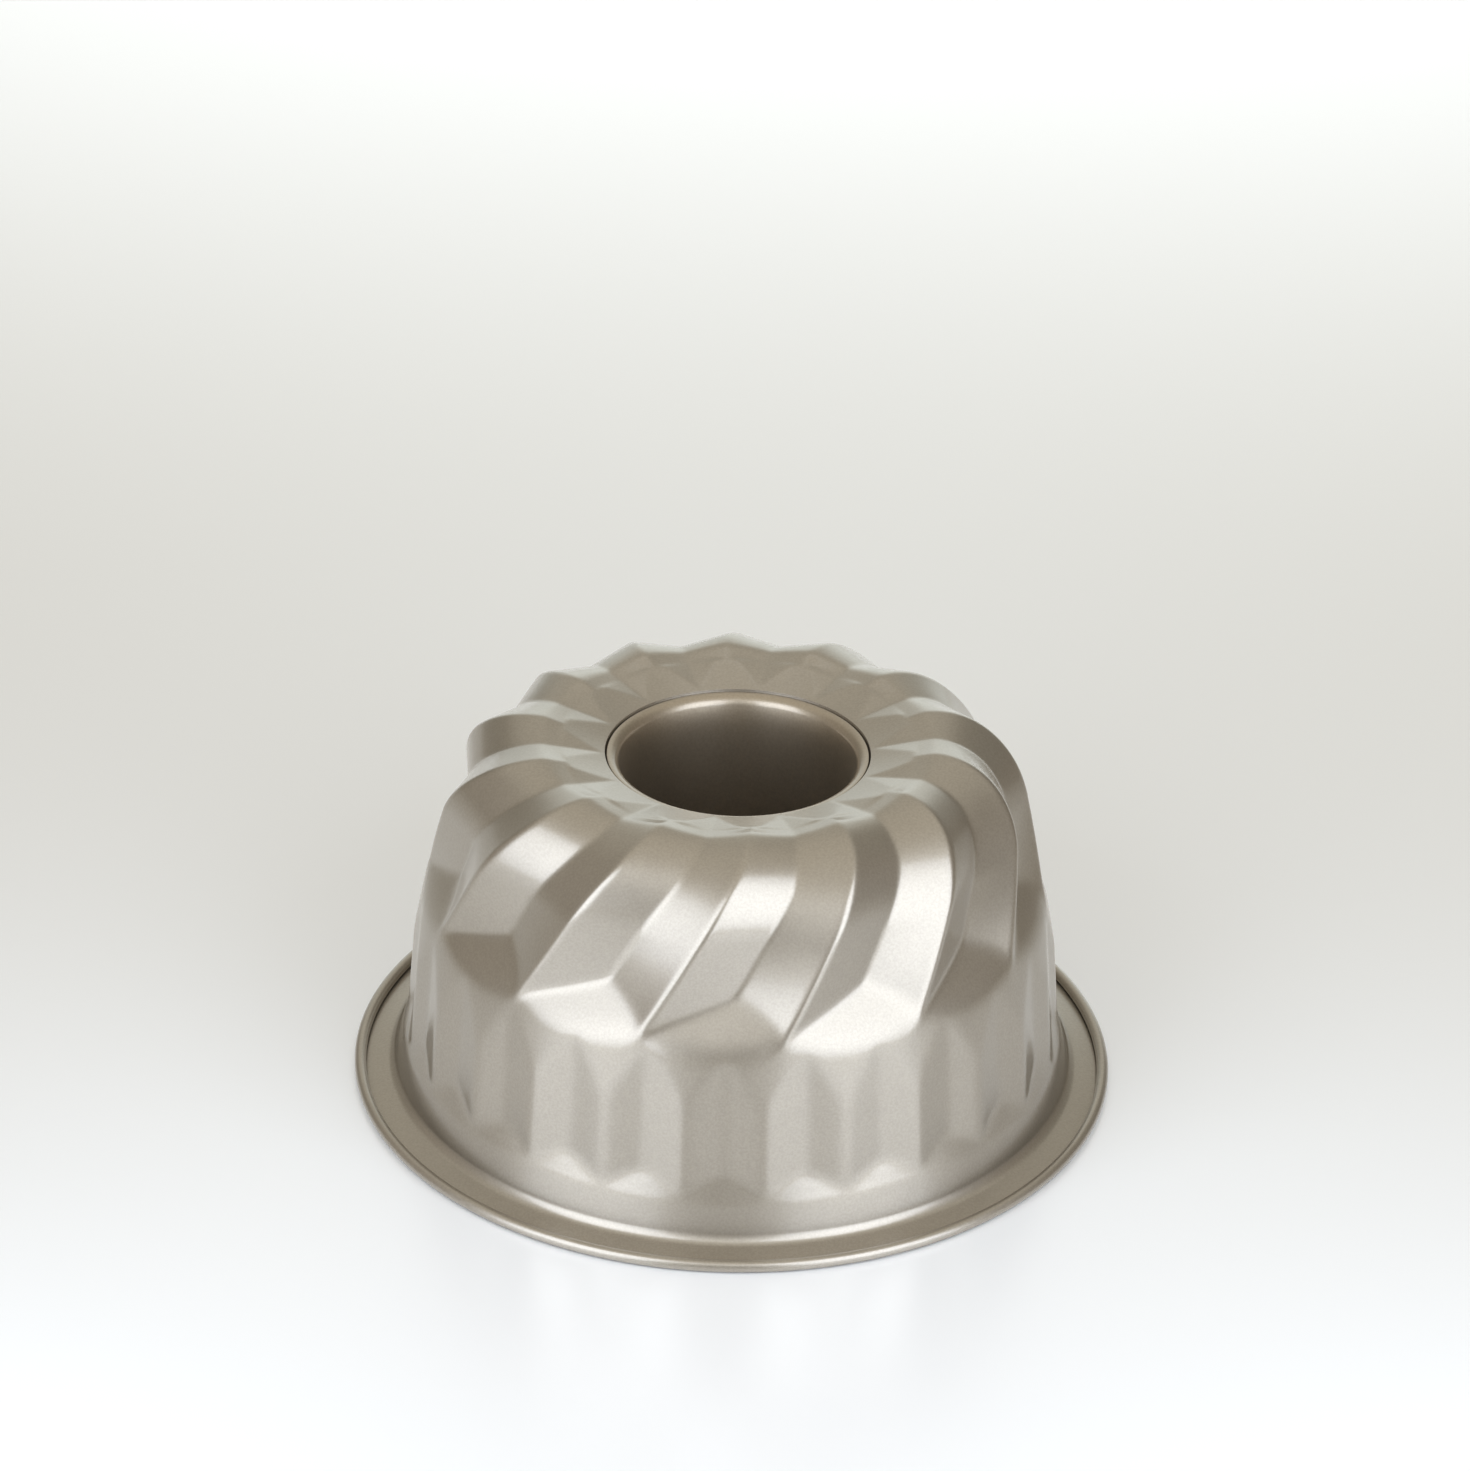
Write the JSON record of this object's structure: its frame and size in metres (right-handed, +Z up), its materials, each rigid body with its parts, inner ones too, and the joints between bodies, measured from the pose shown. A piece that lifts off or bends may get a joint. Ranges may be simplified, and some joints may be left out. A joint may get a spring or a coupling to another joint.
{
  "type": "fluted tube pan",
  "caption": "Ring-cake mould of coated sheet metal with swirled crown grooves, a fluted wall, a rolled rim and an open centre tube, standing mouth down.",
  "frame": {"origin": "centre of the plane that the rim rests on, on the pan's axis", "axes": "+Z up along the pan's axis, from the mouth to the crown; -Y is the front of the picture; +X is to the viewer's right"},
  "size_m": [0.22, 0.22, 0.1065],
  "materials": {
    "body_coating": "satin metallic non-stick coating, warm champagne grey",
    "tube_coating": "satin metallic non-stick coating, warm champagne grey, darker in the bore"
  },
  "bodies": {
    "root": {"fluted_body": "body_coating", "centre_tube": "tube_coating"}
  },
  "joints": []
}
